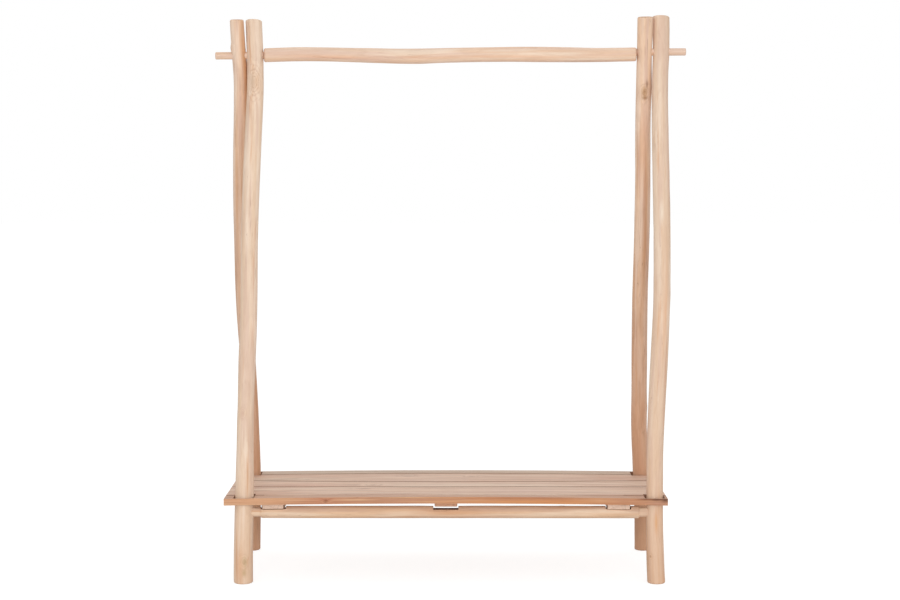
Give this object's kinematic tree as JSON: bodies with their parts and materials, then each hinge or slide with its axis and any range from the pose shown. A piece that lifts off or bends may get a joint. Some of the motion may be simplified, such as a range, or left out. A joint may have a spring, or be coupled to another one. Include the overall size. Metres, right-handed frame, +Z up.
{
  "type": "clothes rack",
  "caption": "Free-standing clothes rack of peeled teak branches: leaning leg pairs crossed on a round hanging bar, two rails and a slatted shelf near the floor.",
  "frame": {"origin": "on the floor, in the middle of the rack: half way along the bar and half way between the front and the rear feet", "axes": "+X to the right along the bar, +Y to the rear, +Z up"},
  "size_m": [1.4854, 0.5194, 1.7608],
  "materials": {
    "pale_branch": "peeled and sanded, unfinished pale teak with fine grain along the branch and small knots",
    "brown_branch": "peeled and sanded, browner teak branch",
    "bar_branch": "peeled and sanded teak branch, tenons turned smooth",
    "rail_branch": "peeled and sanded teak branch, sawn notches",
    "shelf_board": "sawn and sanded teak board, unfinished",
    "red_board": "sawn and sanded teak board with red-brown heartwood streaks",
    "cleat_wood": "sawn teak batten",
    "screw_steel": "zinc-plated wood screws"
  },
  "bodies": {
    "stand": {"front_left_leg": "pale_branch", "rear_left_leg": "brown_branch", "front_right_leg": "pale_branch", "rear_right_leg": "brown_branch", "front_rail": "rail_branch", "rear_rail": "rail_branch"},
    "bar": {"hanging_bar": "bar_branch"},
    "shelf": {"front_edge_board": "red_board", "front_board": "shelf_board", "centre_board": "shelf_board", "rear_board": "shelf_board", "rear_edge_board": "shelf_board", "left_cleat": "cleat_wood", "middle_cleat": "cleat_wood", "right_cleat": "cleat_wood", "left_cleat_screws": "screw_steel", "middle_cleat_screws": "screw_steel", "right_cleat_screws": "screw_steel"}
  },
  "joints": [
    {"name": "bar_roll", "type": "hinge", "parent": "stand", "child": "bar", "pos_m": [0, 0, 1.6405], "axis": [1, 0, 0.0086], "continuous": true},
    {"name": "shelf_lift", "type": "slide", "parent": "stand", "child": "shelf", "axis": [0, 0, 1], "range_m": [0, 0.025]}
  ]
}
